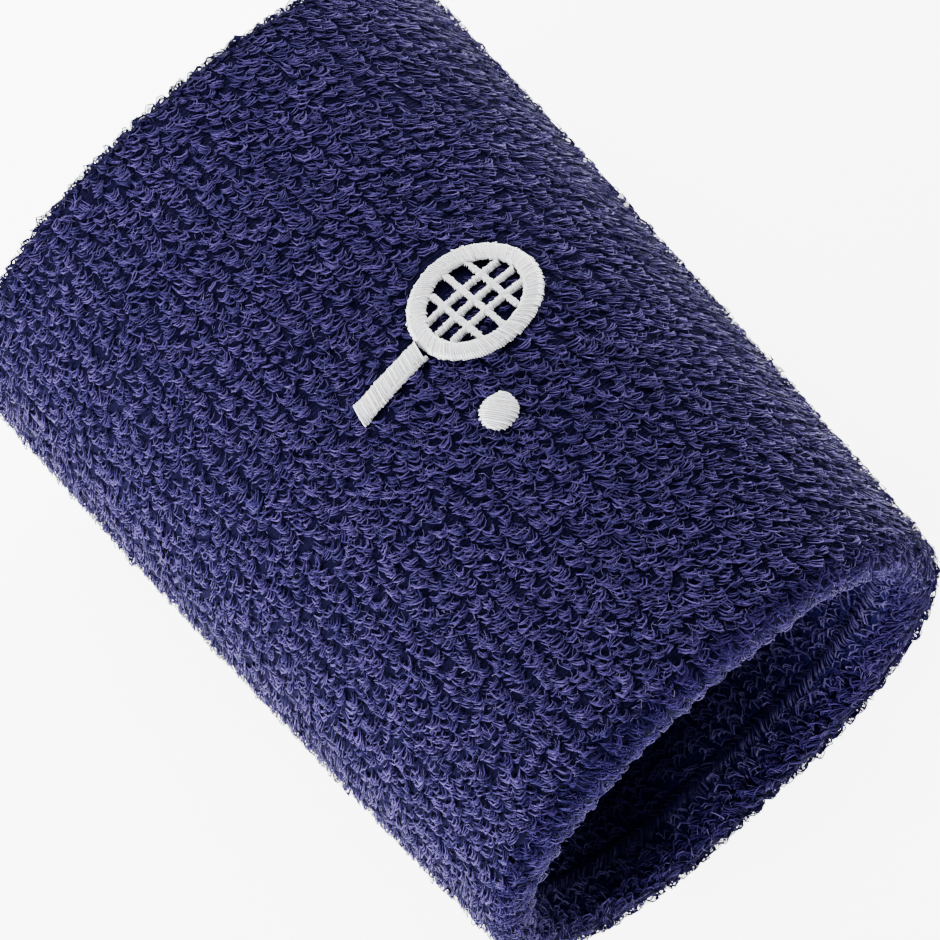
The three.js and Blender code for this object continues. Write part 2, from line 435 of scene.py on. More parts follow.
@dataclass
class NodeBench:
    """Adds and links shader nodes in one tree."""

    tree: bpy.types.NodeTree

    def add(self, kind: str, **settings: object) -> bpy.types.Node:
        """Adds a node.

        Args:
            kind: Its type.
            settings: Its properties.

        Returns:
            The node.
        """
        node = self.tree.nodes.new(kind)
        for name, value in settings.items():
            setattr(node, name, value)
        return node

    def link(self, output: bpy.types.NodeSocket, target: bpy.types.NodeSocket) -> None:
        """Links two sockets."""
        self.tree.links.new(output, target)

    def feed(self, socket: bpy.types.NodeSocket, source: object) -> None:
        """Links a socket to another, or gives it a value.

        Args:
            socket: The input to feed.
            source: An output socket, or a number or colour.
        """
        if isinstance(source, bpy.types.NodeSocket):
            self.link(source, socket)
        else:
            socket.default_value = source

    def value(self, kind: str, *sources: object) -> bpy.types.NodeSocket:
        """Adds a Math node.

        Args:
            kind: Its operation.
            sources: What it works on, each a socket or a number.

        Returns:
            Its result.
        """
        node = self.add("ShaderNodeMath", operation=kind)
        for socket, source in zip(node.inputs, sources):
            self.feed(socket, source)
        return node.outputs[0]

    def mix(self, share: object, first: object, second: object) -> bpy.types.NodeSocket:
        """Mixes two colours.

        Args:
            share: How much of the second, as a socket or a number.
            first: A socket or a colour.
            second: A socket or a colour.

        Returns:
            The mixed colour.
        """
        node = self.add("ShaderNodeMix", data_type="RGBA")
        for number, source in ((0, share), (6, first), (7, second)):
            self.feed(node.inputs[number], source)
        return node.outputs[2]

    def noise(self, scale: object, detail: float = 2.0) -> bpy.types.NodeSocket:
        """Adds noise on Object coordinates.

        Args:
            scale: Its scale for each metre, as a socket or a number.
            detail: How many finer layers it has.

        Returns:
            A value about 0.5.
        """
        where = self.add("ShaderNodeTexCoord")
        node = self.add("ShaderNodeTexNoise")
        self.feed(node.inputs["Scale"], scale)
        node.inputs["Detail"].default_value = detail
        self.link(where.outputs["Object"], node.inputs["Vector"])
        return node.outputs["Fac"]

    def attribute(self, name: str) -> bpy.types.NodeSocket:
        """A stored value of the mesh."""
        node = self.add("ShaderNodeAttribute", attribute_name=name)
        return node.outputs["Fac"]

    def place(self, group: bpy.types.NodeTree, **sources: object) -> bpy.types.Node:
        """Places a node group.

        Args:
            group: The group.
            sources: What feeds each of its inputs, by the input's name.

        Returns:
            The group's node.
        """
        node = self.add("ShaderNodeGroup", node_tree=group)
        for name, source in sources.items():
            self.feed(node.inputs[name], source)
        return node

    def bump(self, shader: bpy.types.Node, height: object, strength: float, depth: float) -> None:
        """Raises a shader's surface.

        Args:
            shader: The shader.
            height: The height, as a socket or a number.
            strength: How much of it shows.
            depth: The distance that a height of 1 stands for.
        """
        node = self.add("ShaderNodeBump")
        node.inputs["Strength"].default_value = strength
        node.inputs["Distance"].default_value = depth
        self.feed(node.inputs["Height"], height)
        self.link(node.outputs[0], shader.inputs["Normal"])


COLOUR_SOCKET = "NodeSocketColor"
VALUE_SOCKET = "NodeSocketFloat"


def new_group(
    name: str, inputs: dict[str, str], outputs: dict[str, str]
) -> tuple[bpy.types.NodeTree, NodeBench, bpy.types.Node, bpy.types.Node]:
    """An empty shader node group.

    Args:
        name: The group's name.
        inputs: Its inputs' names and kinds.
        outputs: Its outputs' names and kinds.

    Returns:
        The group, its bench, and its input and output nodes.
    """
    group = bpy.data.node_groups.new(name, "ShaderNodeTree")
    for side, sockets in (("INPUT", inputs), ("OUTPUT", outputs)):
        for label, kind in sockets.items():
            group.interface.new_socket(name=label, in_out=side, socket_type=kind)
    bench = NodeBench(group)
    return group, bench, bench.add("NodeGroupInput"), bench.add("NodeGroupOutput")


@cache
def spun_fibres() -> bpy.types.NodeTree:
    """The short fibres of spun yarn, as light flecks along a strand.

    Returns:
        The group, from the flecks' scale and amount to their value about 0.5.
    """
    group, bench, given, result = new_group(
        "spun_fibres", {"Scale": VALUE_SOCKET, "Amount": VALUE_SOCKET}, {"Flecks": VALUE_SOCKET}
    )
    fibres = bench.value("SUBTRACT", bench.noise(given.outputs["Scale"], 3.0), 0.5)
    strong = bench.value("MULTIPLY", fibres, given.outputs["Amount"])
    flecks = bench.value("ADD", strong, 0.5)
    flecks.node.use_clamp = True
    bench.link(flecks, result.inputs["Flecks"])
    return group


@cache
def looped_yarn() -> bpy.types.NodeTree:
    """Yarn in a loop, painted dark at its foot as shade between the loops and lighter towards its tip as
    painted light, with worn and fresh patches.

    Returns:
        The group, from three colours, the flecks and the patches' scale to the yarn's colour.
    """
    group, bench, given, result = new_group(
        "looped_yarn",
        {
            "Root": COLOUR_SOCKET,
            "Tip": COLOUR_SOCKET,
            "Light": COLOUR_SOCKET,
            "Flecks": VALUE_SOCKET,
            "Patches": VALUE_SOCKET,
        },
        {"Colour": COLOUR_SOCKET},
    )
    # Painted shade: the colour runs from the root colour at the foot, where the loops shade each other,
    # to the tip colour at the crest.
    lit = bench.value("POWER", bench.attribute("tip"), 1.2)
    base = bench.mix(lit, given.outputs["Root"], given.outputs["Tip"])
    patch = bench.value("MULTIPLY", bench.noise(given.outputs["Patches"]), 2.0)
    fresh = bench.value("POWER", bench.attribute("tone"), 2.0)
    varied = bench.value("MULTIPLY", fresh, patch)
    flecked = bench.value("MULTIPLY", varied, bench.value("MULTIPLY", given.outputs["Flecks"], 2.0))
    # Painted highlight: the light colour is mixed in by each strand's random tone, patches and flecks,
    # weighted towards the tip where light falls.
    share = bench.value("MULTIPLY", flecked, lit)
    share.node.use_clamp = True
    bench.link(bench.mix(share, base, given.outputs["Light"]), result.inputs["Colour"])
    return group


@cache
def thread_tone() -> bpy.types.NodeTree:
    """Thread or cloth whose tone changes a little from stitch to stitch and along each.

    Returns:
        The group, from two colours and the flecks to the thread's colour.
    """
    group, bench, given, result = new_group(
        "thread_tone",
        {"Shade": COLOUR_SOCKET, "Bright": COLOUR_SOCKET, "Flecks": VALUE_SOCKET},
        {"Colour": COLOUR_SOCKET},
    )
    tone = bench.value("MULTIPLY_ADD", bench.attribute("tone"), 0.6, 0.3)
    share = bench.value("MULTIPLY_ADD", given.outputs["Flecks"], 0.25, tone)
    bench.link(bench.mix(share, given.outputs["Shade"], given.outputs["Bright"]), result.inputs["Colour"])
    return group


def fresh_material(name: str) -> tuple[bpy.types.Material, NodeBench, bpy.types.Node]:
    """A material with an empty tree.

    Args:
        name: The material's name.

    Returns:
        The material, its bench and its Principled shader.
    """
    material = bpy.data.materials.new(name)
    material.use_nodes = True
    material.node_tree.nodes.clear()
    bench = NodeBench(material.node_tree)
    shader = bench.add("ShaderNodeBsdfPrincipled")
    output = bench.add("ShaderNodeOutputMaterial")
    bench.link(shader.outputs[0], output.inputs[0])
    return material, bench, shader


Colour = tuple[float, float, float, float]
# The inside pile's colours: a lighter copy of the pile's, painted light against the shade inside the
# tube.
PAINTED_LIT_INSIDE_ROOT: Colour = (0.0090, 0.0070, 0.060, 1)
PAINTED_LIT_INSIDE_TIP: Colour = (0.036, 0.026, 0.130, 1)
PAINTED_LIT_INSIDE_LIGHT: Colour = (0.085, 0.066, 0.230, 1)
# The rims' colours: a darker copy of the pile's, painted shade against the light that falls on the rims.
PAINTED_SHADE_RIM_TIP: Colour = (0.0054, 0.0023, 0.040, 1)
PAINTED_SHADE_RIM_LIGHT: Colour = (0.032, 0.019, 0.104, 1)


@dataclass(frozen=True)
class PileFinish:
    """Looped yarn, painted dark between the loops as shade and lighter at their tips as painted light."""

    name: str
    # Painted shade at the loops' feet, the tip colour, and a painted highlight towards the tips that
    # random tone mixes in.
    shaded_root: Colour = (0.0018, 0.0009, 0.049, 1)
    tip: Colour = (0.0083, 0.0034, 0.064, 1)
    light: Colour = (0.061, 0.037, 0.182, 1)
    sheen: float = 0.08
    roughness: float = 0.6
    specular: float = 0.15
    fibre_scale: float = 2400.0
    fibre_amount: float = 2.2
    fibre_strength: float = 0.5
    fibre_depth: float = 0.04 * MM
    patch_scale: float = 45.0

    def material(self) -> bpy.types.Material:
        """Builds the material.

        Returns:
            The material.
        """
        material, bench, shader = fresh_material(self.name)
        fibres = bench.place(spun_fibres(), Scale=self.fibre_scale, Amount=self.fibre_amount)
        yarn = bench.place(
            looped_yarn(), Root=self.shaded_root, Tip=self.tip, Light=self.light,
            Flecks=fibres.outputs["Flecks"], Patches=self.patch_scale,
        )
        bench.link(yarn.outputs["Colour"], shader.inputs["Base Color"])
        bench.bump(shader, fibres.outputs["Flecks"], self.fibre_strength, self.fibre_depth)
        shader.inputs["Roughness"].default_value = self.roughness
        shader.inputs["Sheen Weight"].default_value = self.sheen
        shader.inputs["Sheen Roughness"].default_value = 0.45
        shader.inputs["Sheen Tint"].default_value = (0.62, 0.55, 0.92, 1)
        shader.inputs["Specular IOR Level"].default_value = self.specular
        return material


@dataclass(frozen=True)
class GroundFinish:
    """The ground knit under the pile: rows of small stitches, painted almost black as the shade under the
    loops.
    """

    name: str
    # Both colours are darkened as painted shade under the loops; the wave mixes them into the knit's
    # rows.
    dark: Colour = (0.0007, 0.0003, 0.011, 1)
    pale: Colour = (0.0040, 0.0018, 0.037, 1)
    row_scale: float = 520.0
    row_strength: float = 0.6
    row_depth: float = 0.3 * MM
    fibre_scale: float = 3000.0
    fibre_amount: float = 2.0
    roughness: float = 0.95
    specular: float = 0.1

    def material(self) -> bpy.types.Material:
        """Builds the material.

        Returns:
            The material.
        """
        material, bench, shader = fresh_material(self.name)
        where = bench.add("ShaderNodeTexCoord")
        wave = bench.add("ShaderNodeTexWave", wave_type="BANDS", bands_direction="Y")
        wave.inputs["Scale"].default_value = self.row_scale
        wave.inputs["Distortion"].default_value = 2.0
        bench.link(where.outputs["Object"], wave.inputs["Vector"])
        fibres = bench.place(spun_fibres(), Scale=self.fibre_scale, Amount=self.fibre_amount)
        rows = bench.value("MULTIPLY", wave.outputs["Fac"], fibres.outputs["Flecks"])
        bench.link(bench.mix(rows, self.dark, self.pale), shader.inputs["Base Color"])
        bench.bump(shader, rows, self.row_strength, self.row_depth)
        shader.inputs["Roughness"].default_value = self.roughness
        shader.inputs["Specular IOR Level"].default_value = self.specular
        return material


@dataclass(frozen=True)
class ThreadFinish:
    """Satin thread: pale, with a soft gloss and small changes of tone from thread to thread."""

    name: str
    shade: Colour = (0.78, 0.81, 0.90, 1)
    bright: Colour = (0.985, 0.985, 0.99, 1)
    roughness: float = 0.42
    sheen: float = 0.3
    fibre_scale: float = 1500.0
    fibre_amount: float = 2.0
    fibre_strength: float = 0.4
    fibre_depth: float = 0.03 * MM

    def material(self) -> bpy.types.Material:
        """Builds the material.

        Returns:
            The material.
        """
        material, bench, shader = fresh_material(self.name)
        fibres = bench.place(spun_fibres(), Scale=self.fibre_scale, Amount=self.fibre_amount)
        thread = bench.place(
            thread_tone(), Shade=self.shade, Bright=self.bright, Flecks=fibres.outputs["Flecks"]
        )
        bench.link(thread.outputs["Colour"], shader.inputs["Base Color"])
        bench.bump(shader, fibres.outputs["Flecks"], self.fibre_strength, self.fibre_depth)
        shader.inputs["Roughness"].default_value = self.roughness
        shader.inputs["Sheen Weight"].default_value = self.sheen
        return material


# ---- sub-assemblies -----------------------------------------------------------------


@dataclass
class Blend:
    """A span from the floor to the top of the CAD box; giving it to a piece only applies the piece's
    transform to its mesh.
    """

    start: tuple[float, float, float] = (0, 0, 0.0)
    end: tuple[float, float, float] = (0, 0, float(CAD_BOX[1][2]))

    def give(self, piece: bpy.types.Object) -> None:
        """Applies a piece's transform to its mesh."""
        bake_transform(piece)


def dress(
    piece: bpy.types.Object, material: bpy.types.Material, nodes: Sequence[str] = ()
) -> None:
    """Gives a piece its material, applies its transform and hides the CAD nodes that it stands for.

    Args:
        piece: The piece.
        material: Its material.
        nodes: CAD nodes that it replaces.
    """
    piece.data.materials.clear()
    piece.data.materials.append(material)
    Blend().give(piece)
    if nodes:
        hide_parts(*nodes)
    LOG.info("%s: %d faces", piece.name, len(piece.data.polygons))


def round_section(depth: float, place: float, radius: float, sides: int) -> list[tuple[float, float]]:
    """Corners of a round section in the wall, as depths and places along the band."""
    turns = np.linspace(0, 2 * math.pi, sides, endpoint=False)
    return [(depth + radius * math.cos(t), place + radius * math.sin(t)) for t in turns]


def pressed_ring(
    shape: BandShape, name: str, outline: Sequence[tuple[float, float]], steps: int, drift: float = 0.0,
    turns: int = 1,
) -> bpy.types.Object:
    """A closed section spun round the band's axis and pressed to the oval.

    Args:
        shape: The band.
        name: The piece's name.
        outline: The section, as depths in the wall and places along the band.
        steps: Steps in each turn.
        drift: How far along the band each turn moves, for a helix.
        turns: Number of turns.

    Returns:
        The new object.
    """
    mandrel = 2 * shape.half_width.far
    ring = bmesh.new()
    verts = [ring.verts.new((mandrel - depth, y, 0)) for depth, y in outline]
    full = turns == 1 and drift == 0
    if full:
        geometry = [ring.edges.new(pair) for pair in zip(verts, verts[1:] + verts[:1])] + verts
    else:
        geometry = [ring.faces.new(verts)]
    bmesh.ops.spin(
        ring, geom=geometry, cent=(0, 0, 0), axis=(0, 1, 0), dvec=(0, drift / steps, 0),
        angle=2 * math.pi * turns, steps=steps * turns, use_merge=full, use_normal_flip=False,
        use_duplicate=False, space=Matrix.Identity(4),
    )
    points = np.array([v.co[:] for v in ring.verts])
    angle = np.arctan2(points[:, 2], points[:, 0])
    deep = mandrel - np.hypot(points[:, 0], points[:, 2])
    for vert, place in zip(ring.verts, shape.point(angle, points[:, 1], deep)):
        vert.co = place
    return finish_bmesh(name, ring)


@dataclass
class GroundKnit:
    """The knitted ground of both plies and both folds, each a thin closed ring."""

    shape: BandShape
    thickness: float = 0.9 * MM
    sink: float = 0.75 * MM
    ring_steps: int = 160
    piece_run: float = 2.0 * MM

    def build(self) -> None:
        path = WallPath(self.shape, self.sink)
        fold = math.pi * path.radius
        runs = {
            "outer_ground": (0.0, path.straight),
            "far_fold_ground": (path.straight, path.straight + fold),
            "inner_ground": (path.straight + fold, 2 * path.straight + fold),
            "mouth_fold_ground": (2 * path.straight + fold, path.total),
        }
        nodes = {
            "outer_ground": [f"outer_ply_{side}" for side in PANELS],
            "far_fold_ground": [f"far_rim_{side}" for side in PANELS],
            "inner_ground": [f"inner_ply_{side}" for side in PANELS],
            "mouth_fold_ground": [f"mouth_rim_{side}" for side in PANELS],
        }
        outside = GroundFinish("ground_knit").material()
        # The inside ground is a lighter copy of the ground's colours, painted light against the shade
        # inside the tube.
        inside = GroundFinish(
            "ground_knit_inside_painted_lit", dark=(0.003, 0.002, 0.030, 1), pale=(0.012, 0.009, 0.085, 1)
        ).material()
        pieces = {}
        for name, (start, end) in runs.items():
            pieces[name] = self._ring(name, start, end)
            dress(pieces[name], inside if name == "inner_ground" else outside, nodes[name])
        outer_cut = (self.shape.perimeter(self.sink), path.straight)
        inner_cut = (self.shape.perimeter(self.shape.wall - self.sink), path.straight)

    def _ring(self, name: str, start: float, end: float) -> bpy.types.Object:
        """A ring of ground knit.

        Args:
            name: The piece's name.
            start: Where it starts on the wall's path.
            end: Where it ends there.

        Returns:
            The ring.
        """
        steps = max(8, round((end - start) / self.piece_run))
        hair = 1e-7
        runs = np.linspace(start, end - hair, steps + 1)
        y, depth, forward, out = WallPath(self.shape, self.sink).at(runs)
        outside = np.stack([depth, y], axis=1)
        inside = outside + self.thickness * np.stack([out, -forward], axis=1)
        outline = np.concatenate([outside, inside[::-1]])
        return pressed_ring(self.shape, name, [tuple(p) for p in outline], self.ring_steps)


@dataclass(frozen=True)
class PileStyle:
    """How the loops of a stretch of pile stand.

    Each spot holds one bundle of strands or more, each further along by the fill and leaning its
    own way.
    """

    bundles: tuple[int, ...]
    fill: float = 0.95 * MM
    strand_gap: float = 0.27 * MM
    width: float = 1.0
    height: float = 1.0
    nap: float = 0.95
    twist: float = -0.42
    twist_spread: float = 0.33
    lean_spread: float = 0.26
    strand_spread: float = 0.15
    scatter: float = 0.30 * MM
    height_spread: float = 0.08
    width_spread: float = 0.10
    growth_spread: float = 0.12
    gap_spread: float = 0.06 * MM
    place_spread: float = 0.10 * MM
    sway_share: float = 0.7
    first_scatter: float = 0.25
    tone_spread: float = 0.2
    strand_tone_spread: float = 0.22
    low_wale: float = 0.93
    root_gather: float = 0.6
    droop: float = 0.20


OUTER_STYLE = PileStyle(bundles=(4, 2))
UNDERSIDE_STYLE = PileStyle(bundles=(3,))
RIM_STYLE = PileStyle(bundles=(3, 2), fill=0.45 * MM, height=0.82, nap=0.9, twist_spread=0.5)
INNER_STYLE = PileStyle(bundles=(2, 1), height=0.95, nap=0.8, twist=-0.3, twist_spread=0.55)
INSET_STYLE = PileStyle(bundles=(3,), strand_gap=0.22 * MM, width=0.62, height=0.8, nap=0.35)


@dataclass(frozen=True)
class Stretch:
    """A stretch of pile: its name, its runs along the wall's path and how it is made."""

    name: str
    start: float
    end: float
    sectors: int
    style: PileStyle
    template: Template
    material: bpy.types.Material
    slot: Slot


@dataclass
class TerryPile:
    """Loops of yarn on the ground knit, in wales round the band and courses along the path."""

    shape: BandShape
    emblem: "Emblem"
    seam_place: float
    course: float = 1.95 * MM
    rim_course: float = 0.9 * MM
    stagger: float = 0.4
    course_spread: float = 0.11
    wale_spread: float = 0.09
    pairing: float = 0.09
    seam_clearance: float = 0.8 * MM
    first_row: float = 0.45
    sparse_share: float = 0.5
    facing_down: float = -0.6
    strand: float = 0.084 * MM
    arch: float = 0.80 * MM
    foot: float = 0.74 * MM
    curl: float = 0.6
    reach: float = 1.3 * MM
    sparse_reach: float = 28 * MM
    seed: int = 7
    outer_sectors: int = 8
    inner_sectors: int = 3
    rng: np.random.Generator = field(init=False)

    def __post_init__(self) -> None:
        """Sets up the seeded randomness."""
        self.rng = np.random.default_rng(self.seed)

    def build(self) -> None:
        """Builds and dresses the pile of both plies and both rims."""
        path = WallPath(self.shape, self.shape.pile)
        fold = math.pi * path.radius
        finish = PileFinish("terry_pile").material()
        # A lighter copy of the pile's finish for the inside, painted light against the shade there.
        inside = PileFinish(
            "terry_pile_inside_painted_lit", shaded_root=PAINTED_LIT_INSIDE_ROOT, tip=PAINTED_LIT_INSIDE_TIP, light=PAINTED_LIT_INSIDE_LIGHT, sheen=0.2
        ).material()
        # A darker copy of the pile's finish for the rims, painted shade against the light on them.
        rim = PileFinish(
            "terry_pile_rim_painted_shade", tip=PAINTED_SHADE_RIM_TIP, light=PAINTED_SHADE_RIM_LIGHT, sheen=0.02, specular=0.06
        ).material()
        arch = strand_arch(self.arch, self.strand, 5, self.curl, self.foot)
        low = strand_arch(self.arch, self.strand, 4, self.curl, self.foot)
        far = path.straight
        back = far + fold
        near = back + path.straight
        outer, inner = self.outer_sectors, self.inner_sectors
        for stretch in (
            Stretch("outer_pile", 0, far, outer, OUTER_STYLE, arch, finish, Slot.TERRY),
            Stretch("far_rim_pile", far, back, 1, RIM_STYLE, low, rim, Slot.RIM),
            Stretch("inner_pile", back, near, inner, INNER_STYLE, low, inside, Slot.TERRY),
            Stretch("mouth_rim_pile", near, path.total, 1, RIM_STYLE, arch, rim, Slot.RIM),
        ):
            self._stretch(path, stretch)
        self._inset(path, arch, finish)

    def _stretch(self, path: WallPath, stretch: Stretch) -> None:
        """Builds and dresses the loops of one stretch, in sectors round the band.

        Args:
            path: The pile's feet through the wall.
            stretch: The stretch.
        """
        length = stretch.end - stretch.start
        course = self.rim_course if stretch.style is RIM_STYLE else self.course
        count = round(length / course)
        wale, row = np.meshgrid(np.arange(self.shape.wales), np.arange(count), indexing="ij")
        wale, row = wale.ravel(), row.ravel()
        run = stretch.start + (row + self.first_row + self.stagger * (wale % 2)) * length / count
        run = run + self.rng.normal(0, self.course_spread, len(run)) * course
        wale_step = 2 * math.pi / self.shape.wales
        pairing = self.pairing * np.where(wale % 2 == 0, 1, -1)
        angle = self.shape.wale_angles()[wale]
        angle = angle + (pairing + self.rng.normal(0, self.wale_spread, len(run))) * wale_step
        frames = LoopFrames.on(self.shape, path, angle, run)
        kept = ~self.emblem.covers(frames.place, self.reach)
        if stretch.style is INNER_STYLE:
            kept &= np.abs(frames.place[:, 1] - self.seam_place) > self.seam_clearance
            deep_inside = np.abs(frames.place[:, 1]) < self.sparse_reach
            kept &= ~(deep_inside & (self.rng.random(len(run)) < self.sparse_share))
        under = frames.out[:, 2] < self.facing_down
        sector = wale * stretch.sectors // self.shape.wales
        for number in range(stretch.sectors):
            chosen = kept & (sector == number)
            style = stretch.style
            if style is OUTER_STYLE and under[chosen].mean() > 0.5:
                style = UNDERSIDE_STYLE
            copies = self._loops(frames.pick(chosen), style, stretch.template, wale[chosen])
            title = stretch.name if stretch.sectors == 1 else f"{stretch.name}_{number + 1}"
            dress(new_object(title, copies.mesh(title)), stretch.material)

    def _inset(self, path: WallPath, template: Template, material: bpy.types.Material) -> None:
        """Builds and dresses the short tufts between the racket's strings.

        Args:
            path: The pile's feet through the wall.
            template: One strand.
            material: The pile's material.
        """
        spots = self.emblem.gaps()
        place = 2 * spots[:, 1] / self.shape.length
        half_width = self.shape.half_width.at(place) - self.shape.pile
        share = np.abs(spots[:, 0] / half_width) ** (self.shape.power / 2)
        angle = np.arccos(np.clip(share, 0, 1))
        angle = np.where(spots[:, 0] < 0, math.pi - angle, angle)
        run = spots[:, 1] + self.shape.length / 2 - self.shape.wall / 2
        frames = LoopFrames.on(self.shape, path, angle, run)
        copies = self._loops(frames, INSET_STYLE, template, np.zeros(len(spots), dtype=int))
        dress(new_object("inset_pile", copies.mesh("inset_pile")), material)

    def _loops(
        self, frames: "LoopFrames", style: PileStyle, template: Template, wale: np.ndarray
    ) -> Copies:
        """Places bundles of strands.

        Args:
            frames: The spots that they stand on.
            style: How they stand.
            template: One strand.
            wale: Each spot's wale, since every other wale is a little lower.

        Returns:
            The strands.
        """
        count = len(frames.place)
        rng = self.rng
        local = template.points
        share = template.height_share()[None]
        base = (local[:, 2] - local[:, 2].min())[None]
        alternate = np.where(wale % 2 == 0, 1.0, style.low_wale)
        parts = []
        tones = []
        for number, strands in enumerate(style.bundles):
            twist = style.twist + rng.normal(0, style.twist_spread, count)
            along = frames.across * np.cos(twist)[:, None] + frames.forward * np.sin(twist)[:, None]
            side = np.cross(frames.out, along)
            nap = style.nap + rng.normal(0, style.lean_spread, count)
            sway = rng.normal(0, style.lean_spread * style.sway_share, count)[:, None]
            tall = style.height * alternate * (1 + rng.normal(0, style.height_spread, count))
            wide = style.width * (1 + rng.normal(0, style.width_spread, count))
            tone = rng.normal(0.5, style.tone_spread, count)
            spread = style.scatter * min(number + style.first_scatter, 1)
            scatter = rng.normal(0, spread, (2, count))[..., None]
            onward = scatter[1] + number * style.fill
            place = frames.place + frames.across * scatter[0] + frames.forward * onward
            for strand in range(strands):
                grow = 1 + rng.normal(0, style.growth_spread, count)
                shift = (strand - (strands - 1) / 2) * style.strand_gap
                shift = shift + rng.normal(0, style.gap_spread, count)
                skew = rng.normal(0, style.strand_spread, count)[:, None]
                slide = rng.normal(0, style.place_spread, count)[:, None]
                u = local[None, :, 0] * (wide * grow)[:, None] + slide
                w = base * (tall * grow)[:, None]
                fan = 1 - style.root_gather * (1 - share)
                v = local[None, :, 1] + shift[:, None] * fan + skew * u
                bow = (nap + rng.normal(0, style.strand_spread, count))[:, None]
                lean = bow * share**0.5 * w
                lower = 1 - style.droop * np.clip(bow, 0, 1.5) * share
                points = (
                    place[:, None]
                    + along[:, None] * u[..., None]
                    + side[:, None] * v[..., None]
                    + frames.out[:, None] * (w * lower)[..., None]
                    - frames.forward[:, None] * lean[..., None]
                    + frames.across[:, None] * (sway * share * w)[..., None]
                )
                parts.append(points)
                tones.append(np.clip(tone + rng.normal(0, style.strand_tone_spread, count), 0, 1))
        points = np.stack(parts, axis=1).reshape(-1, *local.shape)
        points[..., 2] = np.maximum(points[..., 2], FLOOR_GAP)
        return Copies(template, points, np.stack(tones, axis=1).reshape(-1))


@dataclass
class LoopFrames:
    """Where loops stand: place, outward direction, and directions round and along the path."""

    place: np.ndarray
    out: np.ndarray
    across: np.ndarray
    forward: np.ndarray

    @classmethod
    def on(cls, shape: BandShape, path: WallPath, angle: np.ndarray, run: np.ndarray) -> "LoopFrames":
        """Works out the frames on the ground knit.

        Args:
            shape: The band.
            path: The ground's path through the wall.
            angle: Angles round the band.
            run: Runs along the path.

        Returns:
            The frames.
        """
        small = 0.1 * MM
        small_turn = 0.002
        y, depth, _, _ = path.at(run)
        place = shape.point(angle, y, depth)
        y_next, depth_next, _, _ = path.at(run + small)
        forward = shape.point(angle, y_next, depth_next) - place
        across = shape.point(angle - small_turn, y, depth) - shape.point(angle + small_turn, y, depth)
        out = np.cross(across, forward)
        return cls(place, unit_rows(out), unit_rows(across), unit_rows(forward))

    def pick(self, chosen: np.ndarray) -> "LoopFrames":
        """The chosen frames."""
        return LoopFrames(self.place[chosen], self.out[chosen], self.across[chosen], self.forward[chosen])


@dataclass
class LooseFibres:
    """Fine fibres that have worked out of the yarn and lie over the loops as a faint fuzz."""

    shape: BandShape
    emblem: "Emblem"
    count: int = 9500
    radius: float = 0.62 * MM
    fibre: float = 0.020 * MM
    sink: float = 0.35 * MM
    bend: float = -0.45
    tilt: float = 1.15
    size_spread: float = 0.3
    size_range: tuple[float, float] = (0.4, 1.7)
    lowest: float = -0.5
    seed: int = 13

    def build(self) -> None:
        """Builds and dresses the fibres of the outer ply and both rims."""
        rng = np.random.default_rng(self.seed)
        template = strand_arch(self.radius, self.fibre, 2, self.bend, 0)
        frames = self._frames(rng)
        count = len(frames.place)
        turn = rng.uniform(0, 2 * math.pi, count)[:, None]
        tilt = rng.normal(0, self.tilt, count)[:, None]
        size = np.clip(rng.normal(1, self.size_spread, count), *self.size_range)[:, None]
        along = frames.across * np.cos(turn) + frames.forward * np.sin(turn)
        side = np.cross(frames.out, along)
        rise = frames.out * np.cos(tilt) + side * np.sin(tilt)
        local = template.points
        heights = local[None, :, 2] - local[:, 2].min()
        points = (
            frames.place[:, None]
            + along[:, None] * (local[None, :, 0] * size)[..., None]
            + np.cross(rise, along)[:, None] * local[None, :, 1, None]
            + rise[:, None] * (heights * size)[..., None]
        )
        points[..., 2] = np.maximum(points[..., 2], FLOOR_GAP)
        copies = Copies(template, points, rng.random(count))
        finish = ThreadFinish(
            "loose_fibres", shade=(0.034, 0.022, 0.14, 1), bright=(0.12, 0.095, 0.28, 1),
            roughness=0.7, sheen=0.0,
        )
        dress(new_object("loose_fibres", copies.mesh("loose_fibres")), finish.material())

    def _frames(self, rng: np.random.Generator) -> LoopFrames:
        """Where the fibres lie.

        Args:
            rng: The randomness that scatters them.

        Returns:
            A frame for each fibre, none under the emblem or beneath the band.
        """
        path = WallPath(self.shape, self.sink)
        fold = math.pi * path.radius
        wales = self.shape.wales
        angles = np.append(self.shape.wale_angles(), 2 * math.pi)
        angle = np.interp(rng.uniform(0, wales, self.count), np.arange(wales + 1), angles)
        run = rng.uniform(-fold, path.straight + fold, self.count)
        frames = LoopFrames.on(self.shape, path, angle, run)
        kept = ~self.emblem.covers(frames.place, self.radius) & (frames.out[:, 2] > self.lowest)
        return frames.pick(kept)


